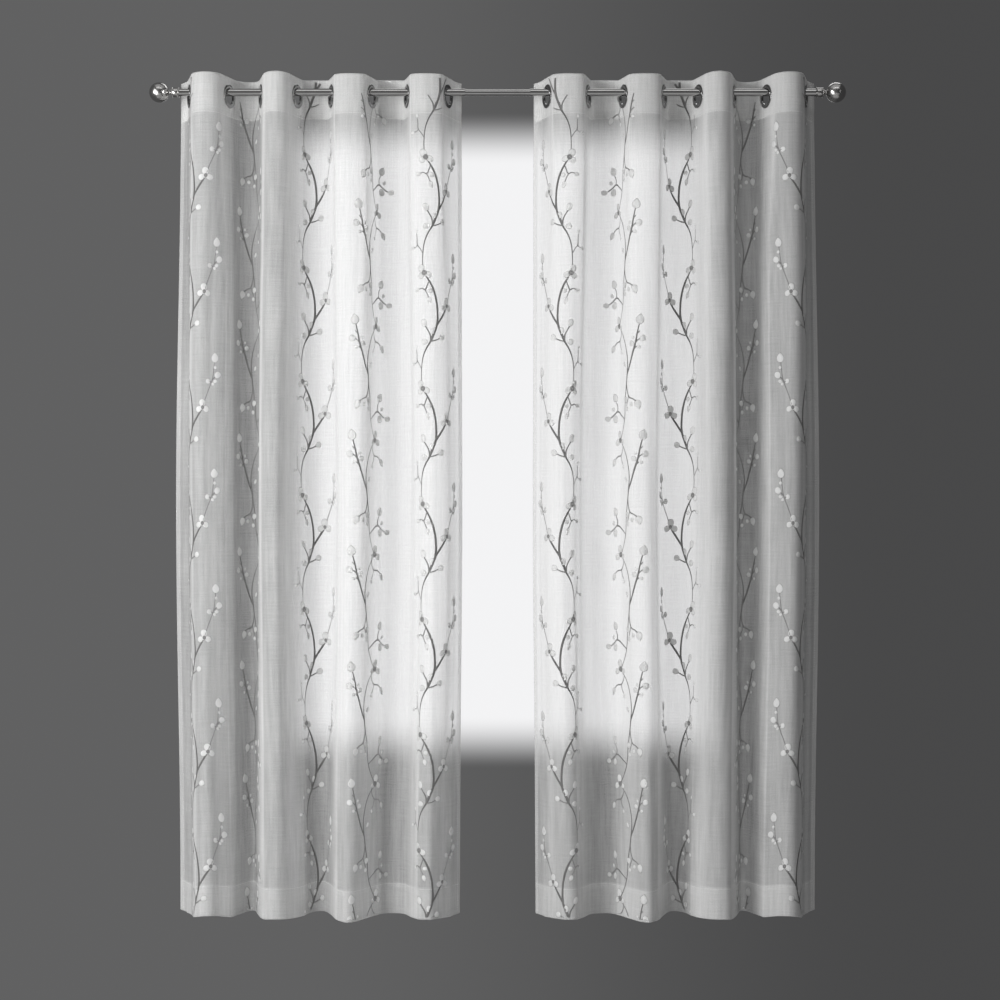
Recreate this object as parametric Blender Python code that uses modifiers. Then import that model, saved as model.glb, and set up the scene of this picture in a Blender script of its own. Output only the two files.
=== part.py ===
"""A pair of sheer voile eyelet curtains, hung open on a metal rod with ball finials.

Lengths are in metres. The rod runs along X, the room is on the -Y side and +Z is up. The origin is the
middle of the rod, on its axis. The two curtains mirror each other across X = 0, so sizes across a curtain
are given as distances from the middle of the rod, from the inner edge outwards.
"""

from collections import namedtuple
from math import atan2, cos, hypot, pi, radians, sin

import bmesh
import bpy

# Rod: two outer tubes and the thinner slider tube that joins them
TUBE_RADIUS = 0.0095
TUBE_WALL = 0.0008
TUBE_INNER_END = 0.083
TUBE_OUTER_END = 0.826
SLIDER_RADIUS = 0.008
SLIDER_HALF_LENGTH = 0.23
ROUND_STEPS = 24

# Finials, along the rod from the middle outwards
COLLAR_START = 0.810
COLLAR_END = 0.829
COLLAR_RADIUS = 0.012
COLLAR_BEAD = 0.0008
WAIST_RADIUS = 0.0055
BALL_RADIUS = 0.0253
BALL_CENTRE = 0.8615
BALL_STEPS = 10

# Cloth
CLOTH_WIDTH = 1.27
CLOTH_LENGTH = 2.134
CLOTH_THICKNESS = 0.0012
HEM_THICKNESS = 0.0020
HEM_HEIGHT = 0.079
HEM_STEP = 0.002
HEADING_HEIGHT = 0.102
TOP_ABOVE_ROD = 0.038
GAP = 0.0003

# Eyelets
EYELET_RADIUS = 0.030
EYELET_HOLE_RADIUS = 0.020
EYELET_BARREL_RADIUS = 0.0215
EYELET_CROWN_RADIUS = 0.025
EYELET_EDGE = 0.0009
EYELET_CROWN = 0.0020
EYELET_STEPS = 16
EYELET_SEAT_GAP = 0.0006
CLOTH_HOLE_RADIUS = EYELET_BARREL_RADIUS + 0.0004
CUTTER_DEPTH = 0.016

# Fold shape
FLAT_AT_HEADING = 0.0325
FLAT_BELOW = 0.016
FOLD_STEPS = 6
TAIL_STEPS = 3
EDGE_LEAN = radians(38)
MIDDLE_BELOW_ROD = 1.0
LENGTH_TRIES = 24

# Where the cloth crosses the line of the rod: its place and how steeply it runs front to back
Crossing = namedtuple(
    "Crossing", "heading_x middle_x hem_x heading_lean middle_lean hem_lean"
)
CROSSINGS = (
    Crossing(0.127, 0.115, 0.117, 69, 70, 56),
    Crossing(0.230, 0.212, 0.229, 74, 80, 66),
    Crossing(0.321, 0.318, 0.316, 71, 68, 60),
    Crossing(0.423, 0.409, 0.421, 72, 82, 72),
    Crossing(0.511, 0.514, 0.498, 71, 66, 62),
    Crossing(0.602, 0.606, 0.608, 75, 84, 78),
    Crossing(0.684, 0.679, 0.667, 70, 66, 64),
    Crossing(0.784, 0.783, 0.778, 74, 82, 76),
)

# How far each fold reaches from the rod, and how much its top edge rises and its hem drops.
# The first and last rows are the free edges, which turn back towards the window.
Fold = namedtuple("Fold", "heading_depth middle_depth hem_depth top_rise hem_drop")
FOLDS = (
    Fold(0.055, 0.040, 0.030, -0.004, 0.000),
    Fold(0.048, 0.044, 0.050, -0.001, -0.004),
    Fold(0.056, 0.052, 0.046, 0.006, 0.005),
    Fold(0.049, 0.050, 0.058, -0.001, 0.002),
    Fold(0.058, 0.058, 0.052, 0.006, 0.001),
    Fold(0.062, 0.062, 0.060, 0.002, -0.006),
    Fold(0.066, 0.064, 0.056, 0.003, 0.000),
    Fold(0.060, 0.060, 0.052, 0.001, -0.013),
    Fold(0.052, 0.048, 0.036, -0.005, -0.008),
)

# The free edges, as distances from the middle of the rod
Edge = namedtuple("Edge", "heading_x middle_x hem_x")
INNER_EDGE = Edge(0.093, 0.092, 0.096)
OUTER_EDGE = Edge(0.806, 0.818, 0.805)

# Heights
TOP = TOP_ABOVE_ROD
HEADING_FOOT = TOP - HEADING_HEIGHT
BOTTOM = TOP - CLOTH_LENGTH
HEM_TOP = BOTTOM + HEM_HEIGHT
MIDDLE = -MIDDLE_BELOW_ROD
EYELET_HEIGHT = TUBE_RADIUS + EYELET_SEAT_GAP - EYELET_HOLE_RADIUS
DROP_ROWS = (-0.14, -0.27, -0.46, -0.70, MIDDLE, -1.30, -1.56, -1.78, -1.93)

SIDES = {"left": -1, "right": 1}


def clear_scene():
    for obj in list(bpy.data.objects):
        bpy.data.objects.remove(obj)


def make_collection(name):
    collection = bpy.data.collections.new(name)
    bpy.context.scene.collection.children.link(collection)
    return collection


def make_material(name, colour, roughness, metallic=0.0, alpha=1.0):
    material = bpy.data.materials.new(name)
    material.use_nodes = True
    shader = material.node_tree.nodes["Principled BSDF"]
    shader.inputs["Base Color"].default_value = (*colour, 1.0)
    shader.inputs["Roughness"].default_value = roughness
    shader.inputs["Metallic"].default_value = metallic
    shader.inputs["Alpha"].default_value = alpha
    return material


def add_object(name, mesh, material, collection):
    obj = bpy.data.objects.new(name, mesh)
    if material and not mesh.materials:
        mesh.materials.append(material)
    collection.objects.link(obj)
    return obj


def mesh_from(bm, name):
    mesh = bpy.data.meshes.new(name)
    bm.to_mesh(mesh)
    bm.free()
    return mesh


def ease(share):
    share = min(max(share, 0.0), 1.0)
    return share * share * (3 - 2 * share)


def at_height(heading, middle, hem, z):
    """A value that is constant through the heading, then eases to its middle and hem values."""
    if z >= MIDDLE:
        share = ease((HEADING_FOOT - z) / (HEADING_FOOT - MIDDLE))
        return heading + (middle - heading) * share
    share = ease((MIDDLE - z) / (MIDDLE - BOTTOM))
    return middle + (hem - middle) * share


def bezier(start, out, back, end, steps):
    """The points of a cubic curve after its start."""
    points = []
    for step in range(1, steps + 1):
        t = step / steps
        a, b, c, d = (1 - t) ** 3, 3 * t * (1 - t) ** 2, 3 * t * t * (1 - t), t**3
        x = a * start[0] + b * out[0] + c * back[0] + d * end[0]
        y = a * start[1] + b * out[1] + c * back[1] + d * end[1]
        points.append((x, y))
    return points


def along(point, direction, distance):
    return (
        point[0] + direction[0] * distance,
        point[1] + direction[1] * distance,
    )


def crossings_at(z):
    """Each crossing's place and direction at height z. The first one runs from the window to the room."""
    found = []
    for index, row in enumerate(CROSSINGS):
        x = at_height(row.heading_x, row.middle_x, row.hem_x, z)
        lean = radians(at_height(row.heading_lean, row.middle_lean, row.hem_lean, z))
        towards = -1 if index % 2 == 0 else 1
        found.append(((x, 0.0), (cos(lean), towards * sin(lean))))
    return found


def section(z, fullness):
    """The cloth's path across one curtain at height z, as points from the inner to the outer edge."""
    flat = at_height(FLAT_AT_HEADING, FLAT_BELOW, FLAT_BELOW, z)
    crossings = crossings_at(z)
    depths = [
        at_height(f.heading_depth, f.middle_depth, f.hem_depth, z) for f in FOLDS
    ]

    place, direction = crossings[0]
    start = (at_height(*INNER_EDGE, z), depths[0])
    end = along(place, direction, -flat)
    reach = hypot(end[0] - start[0], end[1] - start[1]) * 0.38
    out = along(start, (cos(EDGE_LEAN), -sin(EDGE_LEAN)), reach)
    points = [start] + bezier(start, out, along(end, direction, -reach), end, TAIL_STEPS)

    for index in range(len(crossings) - 1):
        place, direction = crossings[index]
        next_place, next_direction = crossings[index + 1]
        start = along(place, direction, flat)
        end = along(next_place, next_direction, -flat)
        steep = (abs(direction[1]) + abs(next_direction[1])) / 2
        reach = fullness * (depths[index + 1] - flat * steep) / (0.75 * steep)
        points.append(start)
        points += bezier(
            start,
            along(start, direction, reach),
            along(end, next_direction, -reach),
            end,
            FOLD_STEPS,
        )

    place, direction = crossings[-1]
    start = along(place, direction, flat)
    end = (at_height(*OUTER_EDGE, z), depths[-1])
    reach = hypot(end[0] - start[0], end[1] - start[1]) * 0.38
    back = along(end, (-cos(EDGE_LEAN), -sin(EDGE_LEAN)), reach)
    points.append(start)
    return points + bezier(start, along(start, direction, reach), back, end, TAIL_STEPS)


def path_length(points):
    return sum(
        hypot(b[0] - a[0], b[1] - a[1]) for a, b in zip(points, points[1:])
    )


def full_section(z):
    """The section whose folds are just deep enough to take up the whole width of the cloth."""
    low, high = 0.2, 3.0
    for _ in range(LENGTH_TRIES):
        fullness = (low + high) / 2
        if path_length(section(z, fullness)) < CLOTH_WIDTH:
            low = fullness
        else:
            high = fullness
    return section(z, (low + high) / 2)


def offset_path(points, distance):
    """The path moved towards the room by distance, square to itself."""
    moved = []
    for index, point in enumerate(points):
        before = points[max(index - 1, 0)]
        after = points[min(index + 1, len(points) - 1)]
        normals = []
        for a, b in ((before, point), (point, after)):
            length = hypot(b[0] - a[0], b[1] - a[1])
            if length:
                normals.append(((b[1] - a[1]) / length, -(b[0] - a[0]) / length))
        nx = sum(n[0] for n in normals)
        ny = sum(n[1] for n in normals)
        size = hypot(nx, ny)
        square = (nx * normals[0][0] + ny * normals[0][1]) / size
        moved.append(along(point, (nx / size, ny / size), distance / square))
    return moved


def edge_shifts():
    """For each column of points across the cloth, how far its top edge rises and its hem drops."""
    shifts = []
    for index, fold in enumerate(FOLDS):
        if index == 0:
            weights = [1 - step / TAIL_STEPS for step in range(TAIL_STEPS + 1)]
        elif index == len(FOLDS) - 1:
            weights = [step / TAIL_STEPS for step in range(TAIL_STEPS + 1)]
        else:
            weights = [sin(pi * step / FOLD_STEPS) for step in range(FOLD_STEPS + 1)]
        shifts += [(fold.top_rise * w, fold.hem_drop * w) for w in weights]
    return shifts


def cloth_surface(name, side, sections, heights):
    """A grid whose rows are sections of the cloth. It faces the room on both sides of the rod."""
    columns = len(sections[0]) - 1
    rows = len(sections) - 1
    bm = bmesh.new()
    bmesh.ops.create_grid(bm, x_segments=columns, y_segments=rows, size=1.0)
    for vert in bm.verts:
        column = round((vert.co.x + 1) / 2 * columns)
        row = round((1 - vert.co.y) / 2 * rows)
        if side < 0:
            column = columns - column
        x, y = sections[row][column]
        vert.co = (side * x, y, heights[row][column])
    bm.normal_update()
    return mesh_from(bm, name)


def add_solidify(obj, thickness, offset):
    solidify = obj.modifiers.new("Thickness", "SOLIDIFY")
    solidify.thickness = thickness
    solidify.offset = offset
    solidify.use_even_offset = True
    return solidify


def add_cuts(obj, cutters):
    cut = obj.modifiers.new("Eyelet holes", "BOOLEAN")
    cut.operand_type = "COLLECTION"
    cut.collection = cutters
    cut.operation = "DIFFERENCE"
    cut.solver = "EXACT"


def make_panel(name, side, material, collection, cutters):
    """The curtain itself, from its top edge to its hem, with the hem's turned-up layer as extra thickness."""
    shifts = edge_shifts()
    levels = (TOP, HEADING_FOOT, *DROP_ROWS, HEM_TOP + HEM_STEP, HEM_TOP, BOTTOM)
    sections = []
    heights = []
    for level in levels:
        sections.append(offset_path(full_section(level), GAP / 2))
        if level >= HEADING_FOOT:
            heights.append([level + rise for rise, _ in shifts])
        elif level == BOTTOM:
            heights.append([level - drop for _, drop in shifts])
        else:
            heights.append([level] * len(shifts))
    obj = add_object(name, cloth_surface(name, side, sections, heights), material, collection)

    layers = obj.vertex_groups.new(name="layers")
    for vert in obj.data.vertices:
        in_hem = vert.co.z < HEM_TOP + HEM_STEP / 2
        layers.add([vert.index], 1.0 if in_hem else CLOTH_THICKNESS / HEM_THICKNESS, "REPLACE")
    solidify = add_solidify(obj, HEM_THICKNESS, 1.0)
    solidify.vertex_group = layers.name
    add_cuts(obj, cutters)
    return obj


def make_heading(name, side, material, collection, cutters):
    """The stiffened strip that is turned down behind the top of the curtain."""
    shifts = edge_shifts()
    path = offset_path(full_section(TOP), -GAP / 2)
    levels = (TOP, HEADING_FOOT)
    heights = [[level + rise for rise, _ in shifts] for level in levels]
    mesh = cloth_surface(name, side, [path, path], heights)
    obj = add_object(name, mesh, material, collection)
    add_solidify(obj, CLOTH_THICKNESS, -1.0)
    add_cuts(obj, cutters)
    return obj


def eyelet_places(side):
    """Each eyelet's centre and the turn that makes its axis square to the cloth."""
    for (x, y), direction in crossings_at(TOP):
        facing = (side * direction[1], -direction[0])
        yield (side * x, y, EYELET_HEIGHT), (0.0, pi / 2, atan2(facing[1], facing[0]))


def make_cutters(name, side):
    cutters = make_collection(name)
    bm = bmesh.new()
    bmesh.ops.create_cone(
        bm,
        cap_ends=True,
        segments=EYELET_STEPS,
        radius1=CLOTH_HOLE_RADIUS,
        radius2=CLOTH_HOLE_RADIUS,
        depth=CUTTER_DEPTH,
    )
    mesh = mesh_from(bm, name)
    for index, (place, turn) in enumerate(eyelet_places(side)):
        cutter = add_object(f"{name}_{index + 1}", mesh, None, cutters)
        cutter.location = place
        cutter.rotation_euler = turn
        cutter.hide_render = True
        cutter.display_type = "WIRE"
    return cutters


def turned_mesh(name, profile, steps, closed=False):
    """A profile in the XZ plane, to be turned about Z. A closed one is a ring's section."""
    bm = bmesh.new()
    verts = [bm.verts.new((radius, 0.0, height)) for radius, height in profile]
    for a, b in zip(verts, verts[1:]):
        bm.edges.new((a, b))
    if closed:
        bm.edges.new((verts[-1], verts[0]))
    return mesh_from(bm, name)


def add_turn(obj, steps):
    screw = obj.modifiers.new("Turn", "SCREW")
    screw.axis = "Z"
    screw.angle = 2 * pi
    screw.steps = steps
    screw.render_steps = steps
    screw.use_merge_vertices = True
    screw.merge_threshold = 0.00005
    screw.use_smooth_shade = True


def ring_profile():
    """The eyelet's section: two crowned flanges on a barrel, with the groove that grips the cloth."""
    groove = CLOTH_THICKNESS + GAP / 2 + GAP
    edge = groove + EYELET_EDGE
    crown = groove + EYELET_CROWN
    front = (
        (EYELET_HOLE_RADIUS, edge),
        (EYELET_CROWN_RADIUS, crown),
        (EYELET_RADIUS, groove),
        (EYELET_BARREL_RADIUS, groove),
    )
    return front + tuple((radius, -height) for radius, height in reversed(front))


def make_eyelets(side_name, side, material, collection):
    name = f"eyelet_{side_name}"
    mesh = turned_mesh(name, ring_profile(), EYELET_STEPS, closed=True)
    for index, (place, turn) in enumerate(eyelet_places(side)):
        eyelet = add_object(f"{name}_{index + 1}", mesh, material, collection)
        eyelet.location = place
        eyelet.rotation_euler = turn
        add_turn(eyelet, EYELET_STEPS)


def place_turned(name, profile, steps, side, material, collection, drop=0.0, closed=False):
    """A turned piece whose profile heights are distances along the rod from its middle."""
    obj = add_object(name, turned_mesh(name, profile, steps, closed), material, collection)
    obj.location = (0.0, 0.0, -drop)
    obj.rotation_euler = (0.0, side * pi / 2, 0.0)
    add_turn(obj, steps)
    return obj


def tube_profile(radius, wall, start, end):
    return (
        (radius - wall, start),
        (radius - wall, end),
        (radius, end),
        (radius, start),
    )


def collar_profile():
    """The cup over the tube's end: beads at both rims, then a cone down to the waist."""
    bead = COLLAR_RADIUS + COLLAR_BEAD
    bore = TUBE_RADIUS + GAP
    seat = TUBE_OUTER_END + GAP
    tip = COLLAR_END + 0.0045
    return (
        (0.0, tip),
        (WAIST_RADIUS, tip),
        (COLLAR_RADIUS - 0.002, COLLAR_END + 0.0006),
        (bead, COLLAR_END - 0.001),
        (COLLAR_RADIUS, COLLAR_END - 0.003),
        (COLLAR_RADIUS, COLLAR_START + 0.003),
        (bead, COLLAR_START + 0.001),
        (bead - 0.0006, COLLAR_START),
        (bore, COLLAR_START),
        (bore, seat),
        (0.0, seat),
    )


def ball_profile():
    """The ball, from its tip to the waist where it meets the collar."""
    waist_end = COLLAR_END + 0.0045 + GAP
    last = pi - WAIST_RADIUS / BALL_RADIUS
    points = [(0.0, BALL_CENTRE + BALL_RADIUS)]
    for step in range(1, BALL_STEPS + 1):
        turn = last * step / BALL_STEPS
        points.append((BALL_RADIUS * sin(turn), BALL_CENTRE + BALL_RADIUS * cos(turn)))
    return points + [(WAIST_RADIUS, waist_end), (0.0, waist_end)]


def make_rod(materials, collection):
    for side_name, side in SIDES.items():
        tube = tube_profile(TUBE_RADIUS, TUBE_WALL, TUBE_INNER_END, TUBE_OUTER_END)
        place_turned(
            f"rod_tube_{side_name}", tube, ROUND_STEPS, side, materials["rod"], collection, closed=True
        )
        place_turned(
            f"finial_collar_{side_name}", collar_profile(), ROUND_STEPS, side, materials["rod"], collection
        )
        place_turned(
            f"finial_ball_{side_name}", ball_profile(), ROUND_STEPS, side, materials["finial"], collection
        )
    slider = tube_profile(SLIDER_RADIUS, TUBE_WALL, -SLIDER_HALF_LENGTH, SLIDER_HALF_LENGTH)
    slack = TUBE_RADIUS - TUBE_WALL - SLIDER_RADIUS - GAP
    place_turned(
        "rod_slider", slider, ROUND_STEPS, 1, materials["rod"], collection, drop=slack, closed=True
    )


def main():
    clear_scene()
    curtains = make_collection("Sheer curtains on a rod")
    materials = {
        "voile": make_material("Voile", (0.80, 0.80, 0.79), 0.85, alpha=0.6),
        "heading": make_material("Heading cloth", (0.83, 0.83, 0.82), 0.85),
        "rod": make_material("Brushed pewter", (0.36, 0.35, 0.34), 0.3, metallic=1.0),
        "finial": make_material("Polished pewter", (0.33, 0.32, 0.31), 0.18, metallic=1.0),
        "eyelet": make_material("Dark nickel", (0.16, 0.16, 0.16), 0.32, metallic=1.0),
    }
    make_rod(materials, curtains)
    for side_name, side in SIDES.items():
        cutters = make_cutters(f"hole_{side_name}", side)
        make_panel(f"panel_{side_name}", side, materials["voile"], curtains, cutters)
        make_heading(f"heading_{side_name}", side, materials["heading"], curtains, cutters)
        make_eyelets(side_name, side, materials["eyelet"], curtains)


main()
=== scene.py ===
from collections import namedtuple
from math import atan2, cos, hypot, pi, radians, sin

import bpy
import numpy as np
from mathutils import Matrix, Vector


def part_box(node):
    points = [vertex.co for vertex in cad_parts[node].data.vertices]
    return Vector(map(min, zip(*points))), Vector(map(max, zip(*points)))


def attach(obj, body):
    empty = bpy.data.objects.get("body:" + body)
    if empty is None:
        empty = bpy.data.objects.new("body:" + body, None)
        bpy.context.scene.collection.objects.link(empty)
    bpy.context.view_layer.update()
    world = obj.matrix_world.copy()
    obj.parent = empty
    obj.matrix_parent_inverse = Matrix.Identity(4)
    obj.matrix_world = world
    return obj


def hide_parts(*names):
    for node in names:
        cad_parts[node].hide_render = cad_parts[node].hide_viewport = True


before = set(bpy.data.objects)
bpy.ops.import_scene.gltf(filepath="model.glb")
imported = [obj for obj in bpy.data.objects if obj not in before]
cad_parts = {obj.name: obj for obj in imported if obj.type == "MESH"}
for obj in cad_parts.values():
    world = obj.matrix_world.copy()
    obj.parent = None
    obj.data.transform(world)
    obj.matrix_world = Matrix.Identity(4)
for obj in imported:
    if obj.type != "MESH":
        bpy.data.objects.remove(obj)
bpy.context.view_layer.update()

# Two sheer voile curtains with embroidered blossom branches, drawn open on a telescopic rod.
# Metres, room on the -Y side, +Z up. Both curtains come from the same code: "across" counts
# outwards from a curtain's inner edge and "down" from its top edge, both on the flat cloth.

scene = bpy.context.scene
sides = {"left": -1, "right": 1}


def showStage(words):
    print(f"[curtains] {words}")


def deselectAll():
    if bpy.context.mode != "OBJECT":
        bpy.ops.object.mode_set(mode="OBJECT")
    bpy.ops.object.select_all(action="DESELECT")


def meshPiece(name, points, faces, material, uvs=None, extra=None):
    mesh = bpy.data.meshes.new(name)
    mesh.from_pydata(np.asarray(points).tolist(), [], [tuple(map(int, face)) for face in faces])
    loops = np.empty(len(mesh.loops), dtype=np.int32)
    mesh.loops.foreach_get("vertex_index", loops)
    if uvs is not None:
        layer = mesh.uv_layers.new(name="flat")
        layer.data.foreach_set("uv", np.asarray(uvs, dtype=np.float32)[loops].ravel())
    for label, values in (extra or {}).items():
        attribute = mesh.attributes.new(label, "FLOAT", "POINT")
        attribute.data.foreach_set("value", np.asarray(values, dtype=np.float32))
    mesh.materials.append(material)
    mesh.shade_smooth()
    obj = bpy.data.objects.new(name, mesh)
    scene.collection.objects.link(obj)
    return obj


# Shader node groups: each gives only colours, masks and heights

def nodeGroup(name, inputs, outputs):
    group = bpy.data.node_groups.new(name, "ShaderNodeTree")
    for label, kind, value in inputs:
        socket = group.interface.new_socket(name=label, in_out="INPUT", socket_type=kind)
        if value is not None:
            socket.default_value = value
    for label, kind in outputs:
        group.interface.new_socket(name=label, in_out="OUTPUT", socket_type=kind)
    return group, group.nodes.new("NodeGroupInput"), group.nodes.new("NodeGroupOutput")


def addNode(tree, kind, settings=None, **links):
    # links names inputs, or counts them as i0, i1..., and gives each a value or another node's output
    node = tree.nodes.new(kind)
    for label, value in (settings or {}).items():
        setattr(node, label, value)
    for label, value in links.items():
        key = int(label[1:]) if label[0] == "i" and label[1:].isdigit() else label.replace("_", " ")
        if isinstance(value, bpy.types.NodeSocket):
            tree.links.new(value, node.inputs[key])
        else:
            node.inputs[key].default_value = value
    return node


def calc(tree, operation, a, b=0.0, clamp=False):
    node = addNode(tree, "ShaderNodeMath", {"operation": operation, "use_clamp": clamp}, i0=a, i1=b)
    return node.outputs[0]


def stretchedNoise(tree, vector, stretch, detail=2.0):
    mapping = addNode(tree, "ShaderNodeMapping", i0=vector, Scale=stretch)
    links = {"Vector": mapping.outputs[0], "Scale": 1.0, "Detail": detail}
    return addNode(tree, "ShaderNodeTexNoise", None, **links).outputs["Fac"]


def mixColours(tree, share, a, b):
    node = addNode(tree, "ShaderNodeMix", {"data_type": "RGBA"}, i0=share)
    for index, value in ((6, a), (7, b)):
        if isinstance(value, bpy.types.NodeSocket):
            tree.links.new(value, node.inputs[index])
        else:
            node.inputs[index].default_value = value
    return node.outputs[2]


def mapped(tree, value, start, end):
    settings = {"interpolation_type": "SMOOTHSTEP"}
    node = addNode(tree, "ShaderNodeMapRange", settings, i0=value, i1=start, i2=end)
    return node.outputs[0]


def makeClothWeave():
    inputs = (
        ("Flat", "NodeSocketVector", None),
        ("Thread pitch", "NodeSocketFloat", 0.0008),
        ("Slubs", "NodeSocketFloat", 0.5),
        ("Opacity", "NodeSocketFloat", 0.5),
        ("Opacity swing", "NodeSocketFloat", 0.2),
        ("Light thread", "NodeSocketColor", (0.8, 0.8, 0.8, 1.0)),
        ("Dark thread", "NodeSocketColor", (0.7, 0.7, 0.7, 1.0)),
    )
    outputs = (
        ("Colour", "NodeSocketColor"),
        ("Opacity", "NodeSocketFloat"),
        ("Height", "NodeSocketFloat"),
    )
    group, taken, given = nodeGroup("cloth weave", inputs, outputs)
    flat = taken.outputs["Flat"]
    turns = calc(group, "DIVIDE", 2 * pi, taken.outputs["Thread pitch"])
    scaled = addNode(group, "ShaderNodeVectorMath", {"operation": "SCALE"}, i0=flat, Scale=turns)
    parts = addNode(group, "ShaderNodeSeparateXYZ", i0=scaled.outputs[0])
    warp = calc(group, "SINE", parts.outputs[0])
    weft = calc(group, "SINE", parts.outputs[1])
    threads = calc(group, "ADD", calc(group, "MULTIPLY", calc(group, "MAXIMUM", warp, weft), 0.5), 0.5)
    warpSlubs = stretchedNoise(group, flat, (330.0, 14.0, 1.0))
    weftSlubs = stretchedNoise(group, flat, (11.0, 380.0, 1.0))
    clouds = stretchedNoise(group, flat, (9.0, 3.0, 1.0))
    grain = stretchedNoise(group, flat, (420.0, 420.0, 1.0), 1.0)
    streaks = stretchedNoise(group, flat, (85.0, 7.0, 1.0))
    slubs = calc(group, "ADD", warpSlubs, weftSlubs)
    slubs = calc(group, "MULTIPLY", calc(group, "SUBTRACT", slubs, 1.0), 1.6)
    slubs = calc(group, "MULTIPLY", slubs, taken.outputs["Slubs"])
    uneven = calc(group, "ADD", slubs, calc(group, "SUBTRACT", clouds, 0.5))
    uneven = calc(group, "ADD", uneven, calc(group, "SUBTRACT", grain, 0.5))
    uneven = calc(group, "ADD", uneven, calc(group, "SUBTRACT", streaks, 0.5))
    swing = calc(group, "MULTIPLY", uneven, taken.outputs["Opacity swing"])
    opacity = calc(group, "ADD", taken.outputs["Opacity"], swing)
    threadSwing = calc(group, "MULTIPLY", calc(group, "SUBTRACT", threads, 0.7), 0.12)
    opacity = calc(group, "ADD", opacity, threadSwing)
    share = calc(group, "ADD", uneven, 0.5, clamp=True)
    colour = mixColours(group, share, taken.outputs["Dark thread"], taken.outputs["Light thread"])
    group.links.new(colour, given.inputs["Colour"])
    group.links.new(calc(group, "MAXIMUM", opacity, 0.02, clamp=True), given.inputs["Opacity"])
    height = calc(group, "ADD", calc(group, "MULTIPLY", threads, 0.4), slubs)
    group.links.new(height, given.inputs["Height"])
    return group


def makeSatinStitch():
    inputs = (
        ("Along", "NodeSocketVector", None),
        ("Stitch pitch", "NodeSocketFloat", 0.0007),
        ("Rim", "NodeSocketFloat", 0.0),
        ("Thread", "NodeSocketColor", (0.8, 0.8, 0.8, 1.0)),
        ("Rim shade", "NodeSocketColor", (0.5, 0.5, 0.5, 1.0)),
    )
    outputs = (("Colour", "NodeSocketColor"), ("Height", "NodeSocketFloat"))
    group, taken, given = nodeGroup("satin stitch", inputs, outputs)
    parts = addNode(group, "ShaderNodeSeparateXYZ", i0=taken.outputs["Along"])
    turns = calc(group, "DIVIDE", 2 * pi, taken.outputs["Stitch pitch"])
    lines = calc(group, "SINE", calc(group, "MULTIPLY", parts.outputs[1], turns))
    drift = stretchedNoise(group, taken.outputs["Along"], (120.0, 900.0, 1.0))
    lines = calc(group, "ADD", calc(group, "MULTIPLY", lines, 0.5), drift)
    shade = mixColours(group, taken.outputs["Rim"], taken.outputs["Thread"], taken.outputs["Rim shade"])
    dimmed = addNode(group, "ShaderNodeHueSaturation", Color=shade)
    value = calc(group, "ADD", calc(group, "MULTIPLY", lines, 0.12), 0.92)
    group.links.new(value, dimmed.inputs["Value"])
    group.links.new(dimmed.outputs[0], given.inputs["Colour"])
    group.links.new(lines, given.inputs["Height"])
    return group


def makeDrawnMetal():
    inputs = (
        ("Place", "NodeSocketVector", None),
        ("Stretch", "NodeSocketVector", (4.0, 900.0, 900.0)),
        ("Clean", "NodeSocketColor", (0.4, 0.4, 0.4, 1.0)),
        ("Worn", "NodeSocketColor", (0.3, 0.3, 0.3, 1.0)),
        ("Roughness", "NodeSocketFloat", 0.25),
    )
    outputs = (
        ("Colour", "NodeSocketColor"),
        ("Roughness", "NodeSocketFloat"),
        ("Height", "NodeSocketFloat"),
    )
    group, taken, given = nodeGroup("drawn metal", inputs, outputs)
    places, stretch = taken.outputs["Place"], taken.outputs["Stretch"]
    mapping = addNode(group, "ShaderNodeVectorMath", {"operation": "MULTIPLY"}, i0=places, i1=stretch)
    links = {"Vector": mapping.outputs[0], "Scale": 1.0, "Detail": 3.0}
    lines = addNode(group, "ShaderNodeTexNoise", None, **links).outputs["Fac"]
    smudges = stretchedNoise(group, taken.outputs["Place"], (30.0, 30.0, 30.0))
    colour = mixColours(group, smudges, taken.outputs["Clean"], taken.outputs["Worn"])
    smudged = calc(group, "MULTIPLY", calc(group, "SUBTRACT", smudges, 0.5), 0.14)
    lined = calc(group, "MULTIPLY", calc(group, "SUBTRACT", lines, 0.5), 0.12)
    rough = calc(group, "ADD", taken.outputs["Roughness"], smudged)
    rough = calc(group, "ADD", rough, lined, clamp=True)
    group.links.new(colour, given.inputs["Colour"])
    group.links.new(rough, given.inputs["Roughness"])
    group.links.new(lines, given.inputs["Height"])
    return group


clothWeave = makeClothWeave()
satinStitch = makeSatinStitch()
drawnMetal = makeDrawnMetal()


def newMaterial(name, group, vector, values, fixed):
    # A Principled material fed by one node group; fixed holds the shader's own plain values.
    material = bpy.data.materials.new(name)
    material.use_nodes = True
    tree = material.node_tree
    shader = tree.nodes["Principled BSDF"]
    coordinates = tree.nodes.new("ShaderNodeTexCoord")
    effect = addNode(tree, "ShaderNodeGroup", {"node_tree": group})
    tree.links.new(coordinates.outputs[vector], effect.inputs[0])
    for label, value in values.items():
        effect.inputs[label].default_value = value
    for label, value in fixed.items():
        shader.inputs[label].default_value = value
    tree.links.new(effect.outputs["Colour"], shader.inputs["Base Color"])
    return material, tree, shader, effect


def addBump(tree, shader, height, strength, distance):
    bump = addNode(tree, "ShaderNodeBump", None, Strength=strength, Distance=distance, Height=height)
    tree.links.new(bump.outputs[0], shader.inputs["Normal"])


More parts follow.
